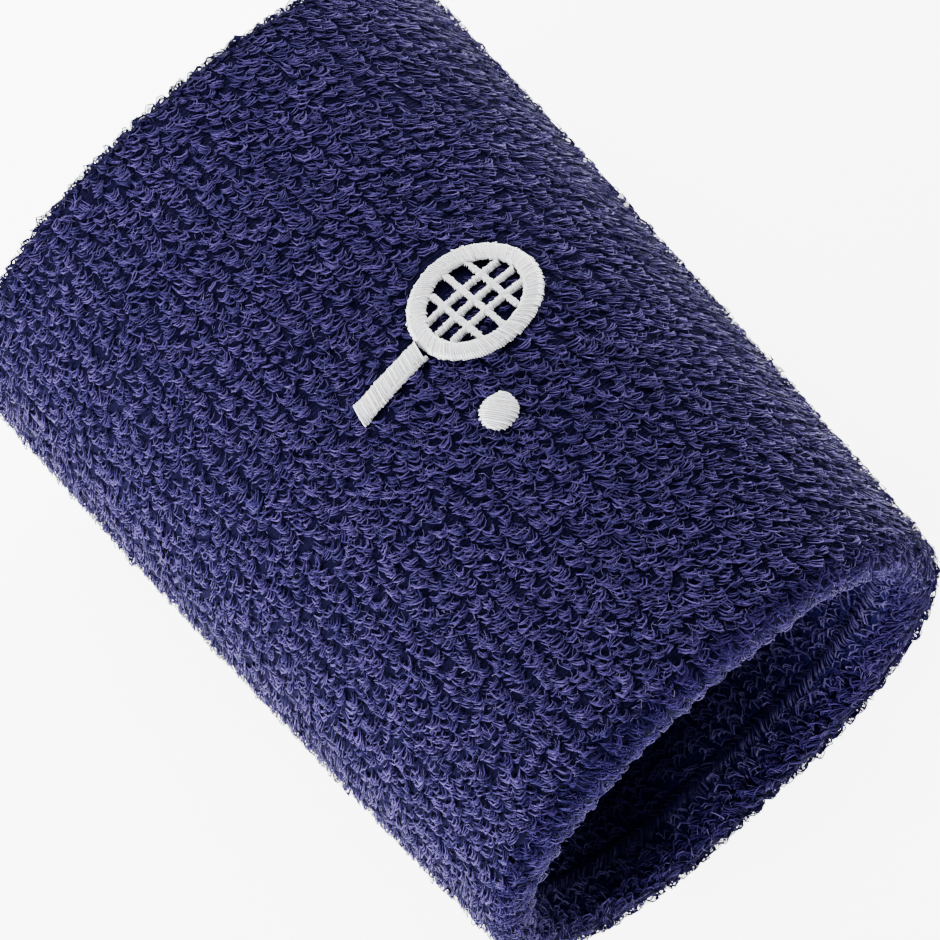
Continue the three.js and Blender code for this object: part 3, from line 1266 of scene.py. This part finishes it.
@dataclass
class ClosingSeam:
    """The overlocked seam that joins the tube's two ends, just inside the mouth."""

    shape: BandShape
    place: float = -52.6 * MM
    depth: float = 5.6 * MM
    radius: float = 1.1 * MM
    core_steps: int = 160
    core_sides: int = 8
    stitches: int = 150
    stitch_strands: int = 3
    strand: float = 0.14 * MM
    strand_gap: float = 0.30 * MM
    strand_scatter: float = 0.10 * MM
    over_core: float = 1.12
    slant: float = 0.9
    slant_spread: float = 0.25
    swell_spread: float = 0.08
    middle_swell: float = 0.06
    seed: int = 11

    def build(self) -> None:
        """Builds and dresses the seam's core and its wraps."""
        # The seam's thread takes the rims' darker copy of the pile's colours, painted shade.
        finish = PileFinish("seam_thread", tip=PAINTED_SHADE_RIM_TIP, light=PAINTED_SHADE_RIM_LIGHT).material()
        outline = round_section(self.depth, self.place, self.radius, self.core_sides)
        core = pressed_ring(self.shape, "seam_core", outline, self.core_steps)
        dress(core, finish, ["closing_seam"])
        wraps = new_object("seam_wraps", self._wraps().mesh("seam_wraps"))
        dress(wraps, finish)

    def _wraps(self) -> Copies:
        """Three strands for each stitch, bent into a V over the core like a braid.

        Returns:
            The strands.
        """
        rng = np.random.default_rng(self.seed)
        template = strand_arch(self.radius * self.over_core, self.strand, 8, 0.5, 0)
        angles = np.linspace(0, 2 * math.pi, 4001)
        steps = np.linalg.norm(np.diff(self._centre(angles), axis=0), axis=1)
        run = np.concatenate([[0], np.cumsum(steps)])
        count = self.stitches * self.stitch_strands
        pitch = run[-1] / self.stitches
        stitch = np.repeat(np.arange(self.stitches), self.stitch_strands)
        strand = np.tile(np.arange(self.stitch_strands) - self.stitch_strands // 2, self.stitches)
        where = stitch * pitch + strand * self.strand_gap
        where = where + rng.normal(0, self.strand_scatter, count)
        local = template.points
        slants = self.slant * (1 + rng.normal(0, self.slant_spread, count))
        behind = slants[:, None] * np.abs(local[None, :, 0])
        place = (where[:, None] + local[None, :, 1] - behind) % run[-1]
        angle = np.interp(place, run, angles)
        swell = 1 + rng.normal(0, self.swell_spread, count) + self.middle_swell * (strand == 0)
        swell = swell[:, None]
        deep = self.depth + local[None, :, 2] * swell
        along = self.place + local[None, :, 0] * swell
        points = self.shape.point(angle, along, deep)
        return Copies(template, points, np.clip(rng.normal(0.5, 0.25, count), 0, 1))

    def _centre(self, angles: np.ndarray) -> np.ndarray:
        """The seam's centre line."""
        places = np.full_like(angles, self.place)
        return self.shape.point(angles, places, np.full_like(angles, self.depth))


@dataclass
class ElasticYarn:
    """The covered elastic laid in between the plies, which pulls the band in."""

    shape: BandShape
    start: float = -50.2 * MM
    pitch: float = 10.0 * MM
    turns: int = 10
    depth: float = 3.4 * MM
    radius: float = 0.35 * MM
    sides: int = 6
    turn_steps: int = 72

    def build(self) -> None:
        """Builds and dresses the helix."""
        outline = round_section(self.depth, self.start, self.radius, self.sides)
        yarn = pressed_ring(self.shape, "elastic", outline, self.turn_steps, self.pitch, self.turns)
        finish = ThreadFinish(
            "covered_elastic", shade=(0.42, 0.40, 0.37, 1), bright=(0.6, 0.58, 0.55, 1)
        )
        dress(yarn, finish.material(), ["elastic_yarn"])


@dataclass
class Emblem:
    """The embroidered racket and ball, in satin stitch over short underlay stitches.

    The emblem has its own flat plane, which is turned, moved and laid on the upper wall.
    """

    shape: BandShape
    place: tuple[float, float] = (9.5 * MM, -3.0 * MM)
    turn: float = 0.1
    head: tuple[float, float] = (7.0 * MM, 4.0 * MM)
    half_length: float = 8.0 * MM
    half_width: float = 6.9 * MM
    stroke: float = 2.6 * MM
    handle_length: float = 11.5 * MM
    handle_width: float = 3.2 * MM
    ball: tuple[float, float] = (-2.0 * MM, -10.5 * MM)
    ball_radius: float = 2.6 * MM
    string_width: float = 0.9 * MM
    strings_along: tuple[float, ...] = (-2.3 * MM, 0.0, 2.3 * MM)
    strings_across: tuple[float, ...] = (-3.2 * MM, 0.0, 3.2 * MM)
    inset_along: tuple[float, ...] = (-4.9 * MM, -1.6 * MM, 1.6 * MM, 4.9 * MM)
    inset_across: tuple[float, ...] = (-3.55 * MM, -1.15 * MM, 1.15 * MM, 3.55 * MM)
    inset_margin: float = 1.6 * MM
    inset_shift: float = 0.35 * MM
    gap: float = 0.3 * MM
    head_slant: float = 0.35
    handle_slant: float = 0.3
    cross_slant: float = 0.5
    crown: float = 0.62 * MM
    string_crown: float = 0.42 * MM
    underlay: float = 0.42 * MM
    line_underlay: float = 0.4 * MM
    underlay_pitch: float = 0.8 * MM
    head_underlay: tuple[float, ...] = (-0.75 * MM, 0.0, 0.75 * MM)
    ball_underlay: tuple[float, ...] = (-1.4 * MM, -0.7 * MM, 0.0, 0.7 * MM, 1.4 * MM)
    reach_spread: float = 0.02
    end_spread: float = 0.06 * MM
    lift_spread: float = 0.055 * MM
    tone_spread: float = 0.25
    backing_depth: float = 2.7 * MM
    backing_thickness: float = 0.3 * MM
    pitch: float = 0.30 * MM
    thread: float = 0.15 * MM
    seed: int = 5
    rng: np.random.Generator = field(init=False)

    def __post_init__(self) -> None:
        """Sets up the seeded randomness."""
        self.rng = np.random.default_rng(self.seed)

    @property
    def handle_end(self) -> float:
        """The handle's end by the head, in the emblem's plane."""
        return self.head[0] - self.half_length - self.stroke / 2 - self.gap

    def to_band(self, u: np.ndarray, v: np.ndarray, height: np.ndarray) -> np.ndarray:
        """Lays points of the emblem's plane on the upper wall.

        Args:
            u: Places along the racket.
            v: Places across it.
            height: Heights over the pile's tips.

        Returns:
            The points on the band.
        """
        x = self.place[0] + u * math.cos(self.turn) - v * math.sin(self.turn)
        y = self.place[1] + u * math.sin(self.turn) + v * math.cos(self.turn)
        return np.stack([x, y, self.shape.top_height(x, y, -height)], axis=-1)

    def to_plane(self, points: np.ndarray) -> tuple[np.ndarray, np.ndarray]:
        """Turns points of the band into places in the emblem's plane.

        Args:
            points: The points, one row each.

        Returns:
            Places along the racket and across it.
        """
        x = points[:, 0] - self.place[0]
        y = points[:, 1] - self.place[1]
        return (
            x * math.cos(self.turn) + y * math.sin(self.turn),
            y * math.cos(self.turn) - x * math.sin(self.turn),
        )

    def covers(self, points: np.ndarray, reach: float) -> np.ndarray:
        """Which loops stand under the emblem, or lean over it from behind.

        Args:
            points: The loops' feet.
            reach: How far a loop leans towards the mouth.

        Returns:
            True for each loop to leave out.
        """
        upper = points[:, 2] > self.shape.half_height.middle
        covered = np.zeros(len(points), dtype=bool)
        for share in (0.4, 0.7, 1.0):
            moved = points - np.array([0, reach * share, 0])
            u, v = self.to_plane(moved)
            covered |= self._inside(u, v, 0.05 * MM)
        return covered & upper

    def _inside(self, u: np.ndarray, v: np.ndarray, margin: float) -> np.ndarray:
        """Whether places are on the head, the handle or the ball.

        Args:
            u: Places along the racket.
            v: Places across it.
            margin: How far outside the outline still counts.

        Returns:
            True for each place that is.
        """
        head_u = (u - self.head[0]) / (self.half_length + self.stroke / 2 + margin)
        head_v = (v - self.head[1]) / (self.half_width + self.stroke / 2 + margin)
        on_head = head_u**2 + head_v**2 < 1
        middle = self.handle_end - self.handle_length / 2
        on_handle = np.abs(u - middle) < self.handle_length / 2 + self.gap + margin
        on_handle &= np.abs(v - self.head[1]) < self.handle_width / 2 + margin
        away = np.hypot(u - self.ball[0], v - self.ball[1])
        return on_head | on_handle | (away < self.ball_radius + margin)

    def gaps(self) -> np.ndarray:
        """Where tufts show between the racket's strings.

        Returns:
            Two points on the band for each opening, one row each.
        """
        clear_length = self.half_length - self.inset_margin
        clear_width = self.half_width - self.inset_margin
        found = []
        for du in self.inset_along:
            for dv in self.inset_across:
                if (du / clear_length) ** 2 + (dv / clear_width) ** 2 < 1:
                    for shift in (-self.inset_shift, self.inset_shift):
                        found.append((self.head[0] + du + shift, self.head[1] + dv))
        u, v = np.array(found).T
        return self.to_band(u, v, np.zeros_like(u))

    def build(self) -> None:
        """Builds and dresses the stitches of each part of the emblem."""
        finish = ThreadFinish("satin_thread").material()
        parts = {
            "head_stitches": (self._head(), "emblem_head"),
            "handle_stitches": (self._handle(), "emblem_handle"),
            "ball_stitches": (self._ball(), "emblem_ball"),
            "string_stitches": (self._strings(), "emblem_strings"),
        }
        for name, (copies, node) in parts.items():
            dress(new_object(name, copies.mesh(name)), finish, [node])
        self._backing()

    def _stitches(
        self, centres: np.ndarray, directions: np.ndarray, half_lengths: np.ndarray,
        thread: float, base: float, crown: float,
    ) -> Copies:
        """Straight stitches that rise from the knit, cross the stroke and go down again.

        Args:
            centres: Middles of the stitches in the emblem's plane.
            directions: Unit directions along them.
            half_lengths: Half of each one's length.
            thread: Radius of the thread.
            base: Height of the stitches' ends over the pile's tips.
            crown: How much higher their middles are.

        Returns:
            The stitches.
        """
        template = strand_rod(6, 4)
        count = len(centres)
        local = template.points
        reach = half_lengths * (1 + self.rng.normal(0, self.reach_spread, count))
        reach = reach + self.rng.normal(0, self.end_spread, count)
        along = local[None, :, 0] * reach[:, None]
        offset = local[None, :, 1] * thread
        u = centres[:, 0, None] + directions[:, 0, None] * along - directions[:, 1, None] * offset
        v = centres[:, 1, None] + directions[:, 1, None] * along + directions[:, 0, None] * offset
        rise = 1 - np.abs(local[:, 0]) ** 5
        lift = self.rng.normal(0, self.lift_spread, count)[:, None]
        height = base + crown * rise[None] + lift + local[None, :, 2] * thread
        tone = np.clip(self.rng.normal(0.55, self.tone_spread, count), 0, 1)
        return Copies(template, self.to_band(u, v, height), tone)

    @staticmethod
    def _joined(parts: Sequence[Copies]) -> Copies:
        """Several sets of copies of the same template as one."""
        points = np.concatenate([part.points for part in parts])
        return Copies(parts[0].template, points, np.concatenate([part.tone for part in parts]))

    def _line(
        self, start: tuple[float, float], end: tuple[float, float], width: float, slant: float,
        base: float, crown: float,
    ) -> Copies:
        """Satin stitches across a straight stroke, over long underlay stitches.

        Args:
            start: The stroke's start in the emblem's plane.
            end: Its end.
            width: Its width.
            slant: How far the stitches lean from square, in radians.
            base: Height of the stitches' ends over the pile's tips.
            crown: How much higher their middles are.

        Returns:
            The stitches.
        """
        begin, finish = np.array(start), np.array(end)
        length = float(np.linalg.norm(finish - begin))
        forward = (finish - begin) / length
        sideways = np.array([-forward[1], forward[0]])
        count = max(4, round(length / self.pitch))
        share = (np.arange(count) + 0.5) / count
        centres = begin + share[:, None] * (finish - begin)
        direction = sideways * math.cos(slant) + forward * math.sin(slant)
        halves = np.full(count, width / 2 / math.cos(slant))
        satin = self._stitches(
            centres, np.tile(direction, (count, 1)), halves, self.thread, base, crown
        )
        rows = max(1, round(width / self.underlay_pitch))
        offsets = (np.arange(rows) - (rows - 1) / 2) * self.underlay_pitch
        under = self._stitches(
            (begin + finish) / 2 + offsets[:, None] * sideways, np.tile(forward, (rows, 1)),
            np.full(rows, length / 2 - 0.2 * MM), self.line_underlay, base - 0.35 * MM, crown * 0.8,
        )
        return self._joined([satin, under])

    def _head(self) -> Copies:
        """Satin stitches across the head's oval line.

        Returns:
            The stitches.
        """
        count = round(math.pi * (self.half_length + self.half_width) / self.pitch)
        turn = np.linspace(0, 2 * math.pi, count, endpoint=False)
        middle = np.array(self.head)
        half_sizes = np.array([self.half_length, self.half_width])
        round_it = np.stack([np.cos(turn), np.sin(turn)], axis=1)
        centres = middle + half_sizes * round_it
        outward = unit_rows(half_sizes[::-1] * round_it)
        slanted = unit_rows(outward + self.head_slant * np.stack([-outward[:, 1], outward[:, 0]], axis=1))
        halves = np.full(count, self.stroke / 2 * 1.05)
        satin = self._stitches(centres, slanted, halves, self.thread, 0.0, self.crown)
        steps = 64
        turn = np.linspace(0, 2 * math.pi, steps, endpoint=False)
        outward = np.stack([np.cos(turn), np.sin(turn)], axis=1)
        tangent = unit_rows(half_sizes * np.stack([-np.sin(turn), np.cos(turn)], axis=1))
        rings = []
        halves = np.full(steps, 0.5 * MM)
        for shift in self.head_underlay:
            places = middle + (half_sizes + shift) * outward
            rings.append(self._stitches(places, tangent, halves, self.underlay, -0.1 * MM, 0.35 * MM))
        return self._joined([satin, *rings])

    def _handle(self) -> Copies:
        """Satin stitches across the handle.

        Returns:
            The stitches.
        """
        start = (self.handle_end - self.handle_length, self.head[1])
        end = (self.handle_end, self.head[1])
        return self._line(start, end, self.handle_width, self.handle_slant, 0.0, self.crown)

    def _ball(self) -> Copies:
        """Satin stitches across the ball, each as long as the ball is wide there.

        Returns:
            The stitches.
        """
        count = round(2 * self.ball_radius / self.pitch)
        share = (np.arange(count) + 0.5) / count * 2 - 1
        step = np.array([math.cos(self.cross_slant), math.sin(self.cross_slant)])
        direction = np.array([-step[1], step[0]])
        centres = np.array(self.ball) + share[:, None] * self.ball_radius * step
        halves = self.ball_radius * np.sqrt(1 - share**2)
        directions = np.tile(direction, (count, 1))
        satin = self._stitches(centres, directions, halves, self.thread, 0.0, self.crown)
        rows = np.array(self.ball_underlay)
        under = self._stitches(
            np.array(self.ball) + rows[:, None] * direction, np.tile(step, (len(rows), 1)),
            np.sqrt((self.ball_radius * 0.9) ** 2 - rows**2), self.underlay, -0.2 * MM, 0.45 * MM,
        )
        return self._joined([satin, under])

    def _string(self, start: tuple[float, float], end: tuple[float, float], base: float) -> Copies:
        """One string, from its start to its end in the emblem's plane."""
        return self._line(start, end, self.string_width, self.cross_slant, base, self.string_crown)

    def _strings(self) -> Copies:
        """Narrow satin lines for the strings.

        Returns:
            The stitches.
        """
        inner_length = self.half_length - self.stroke / 2
        inner_width = self.half_width - self.stroke / 2
        lines = []
        for v in self.strings_along:
            reach = inner_length * math.sqrt(1 - (v / inner_width) ** 2)
            start = (self.head[0] - reach, self.head[1] + v)
            end = (self.head[0] + reach, self.head[1] + v)
            lines.append(self._string(start, end, -0.25 * MM))
        for u in self.strings_across:
            reach = inner_width * math.sqrt(1 - (u / inner_length) ** 2)
            start = (self.head[0] + u, self.head[1] - reach)
            end = (self.head[0] + u, self.head[1] + reach)
            lines.append(self._string(start, end, -0.20 * MM))
        return self._joined(lines)

    def _backing(self) -> None:
        """The thin stabiliser behind the emblem, between the plies."""
        low, high = (np.array(corner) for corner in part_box("emblem_backing"))
        centre, half = (low + high) / 2, (high - low) / 2
        sheet = bmesh.new()
        bmesh.ops.create_grid(sheet, x_segments=24, y_segments=20, size=1)
        bmesh.ops.transform(
            sheet, matrix=Matrix.Diagonal((half[0], half[1], 1, 1)), verts=sheet.verts
        )
        bmesh.ops.rotate(
            sheet, cent=(0, 0, 0), matrix=Matrix.Rotation(self.turn * 0.5, 3, "Z"), verts=sheet.verts
        )
        bmesh.ops.solidify(sheet, geom=sheet.faces[:], thickness=self.backing_thickness)
        points = np.array([v.co[:] for v in sheet.verts])
        x, y = points[:, 0] + centre[0], points[:, 1] + centre[1]
        heights = self.shape.top_height(x, y, self.backing_depth - points[:, 2])
        for vert, place in zip(sheet.verts, np.stack([x, y, heights], axis=1)):
            vert.co = place
        piece = finish_bmesh("backing", sheet)
        finish = ThreadFinish(
            "stabiliser", shade=(0.70, 0.69, 0.65, 1), bright=(0.85, 0.84, 0.80, 1)
        )
        dress(piece, finish.material(), ["emblem_backing"])


@dataclass
class Studio:
    """The floor, the soft lights and the camera."""

    shape: BandShape
    distance: float = 0.520
    elevation: float = math.radians(58.25)
    roll: float = math.radians(-42.69)
    camera_aim: float = 22 * MM
    light_aim: float = 20 * MM
    lens: float = 149.9
    sensor: float = 36.0
    shift: tuple[float, float] = (0.0248, -0.0163)
    floor_glow: float = 6.5
    sky: float = 0.25

    def build(self) -> None:
        """Builds the floor, the lights, the surroundings and the camera."""
        self._floor()
        self._surroundings()
        self._lights()
        self._camera()

    def _floor(self) -> None:
        """A plain pale floor."""
        shape = bmesh.new()
        bmesh.ops.create_grid(shape, x_segments=1, y_segments=1, size=3.0)
        floor = finish_bmesh("floor", shape, smooth=False)
        material, _, shader = fresh_material("floor_paper")
        shader.inputs["Base Color"].default_value = (0.92, 0.92, 0.93, 1)
        shader.inputs["Roughness"].default_value = 0.9
        shader.inputs["Emission Color"].default_value = (1, 1, 1, 1)
        shader.inputs["Emission Strength"].default_value = self.floor_glow
        floor.data.materials.append(material)

    def _surroundings(self) -> None:
        """Even white light from all round."""
        world = bpy.data.worlds.new("studio")
        world.use_nodes = True
        world.node_tree.nodes["Background"].inputs["Color"].default_value = (1.0, 0.97, 1.0, 1)
        world.node_tree.nodes["Background"].inputs["Strength"].default_value = self.sky
        bpy.context.scene.world = world

    def _light(self, name: str, place: Sequence[float], size: float, power: float) -> None:
        """Adds a square soft light that points at the band.

        Args:
            name: Its name.
            place: Where it stands.
            size: The length of its side.
            power: Its power in watts.
        """
        lamp = bpy.data.lights.new(name, "AREA")
        lamp.shape = "SQUARE"
        lamp.size = size
        lamp.energy = power
        light = bpy.data.objects.new(name, lamp)
        light.location = place
        towards = Vector((0, 0, self.light_aim)) - Vector(place)
        light.rotation_euler = towards.to_track_quat("-Z", "Y").to_euler()
        bpy.context.scene.collection.objects.link(light)

    def _lights(self) -> None:
        """A broad light on each side of the band and one from its far end."""
        self._light("left_softbox", (-0.75, -0.10, 0.13), 0.6, 45.0)
        self._light("right_softbox", (0.75, 0.18, 0.24), 0.5, 12.5)
        self._light("far_softbox", (0.05, 0.25, 0.22), 0.22, 2.1)

    def _camera(self) -> None:
        """A long lens, over the mouth and turned so that the band lies across the frame."""
        back = Vector((0, -math.cos(self.elevation), math.sin(self.elevation)))
        right = Vector((1, 0, 0))
        up = back.cross(right)
        turned_right = right * math.cos(self.roll) + up * math.sin(self.roll)
        turned_up = up * math.cos(self.roll) - right * math.sin(self.roll)
        target = Vector((0, 0, self.camera_aim))
        data = bpy.data.cameras.new("camera")
        data.lens = self.lens
        data.sensor_width = self.sensor
        data.shift_x, data.shift_y = self.shift
        data.clip_start = 0.01
        camera = bpy.data.objects.new("camera", data)
        turn = Matrix((turned_right, turned_up, back)).transposed().to_4x4()
        camera.matrix_world = Matrix.Translation(target + back * self.distance) @ turn
        bpy.context.scene.collection.objects.link(camera)
        bpy.context.scene.camera = camera


def main() -> None:
    """Builds the band and its studio."""
    logging.basicConfig(level=logging.INFO, format="%(name)s %(message)s")
    shape = BandShape()
    Studio(shape).build()
    ground = GroundKnit(shape)
    ground.build()
    seam = ClosingSeam(shape)
    emblem = Emblem(shape)
    TerryPile(shape, emblem, seam.place).build()
    LooseFibres(shape, emblem).build()
    seam.build()
    ElasticYarn(shape).build()
    emblem.build()


if __name__ == "__main__":
    main()
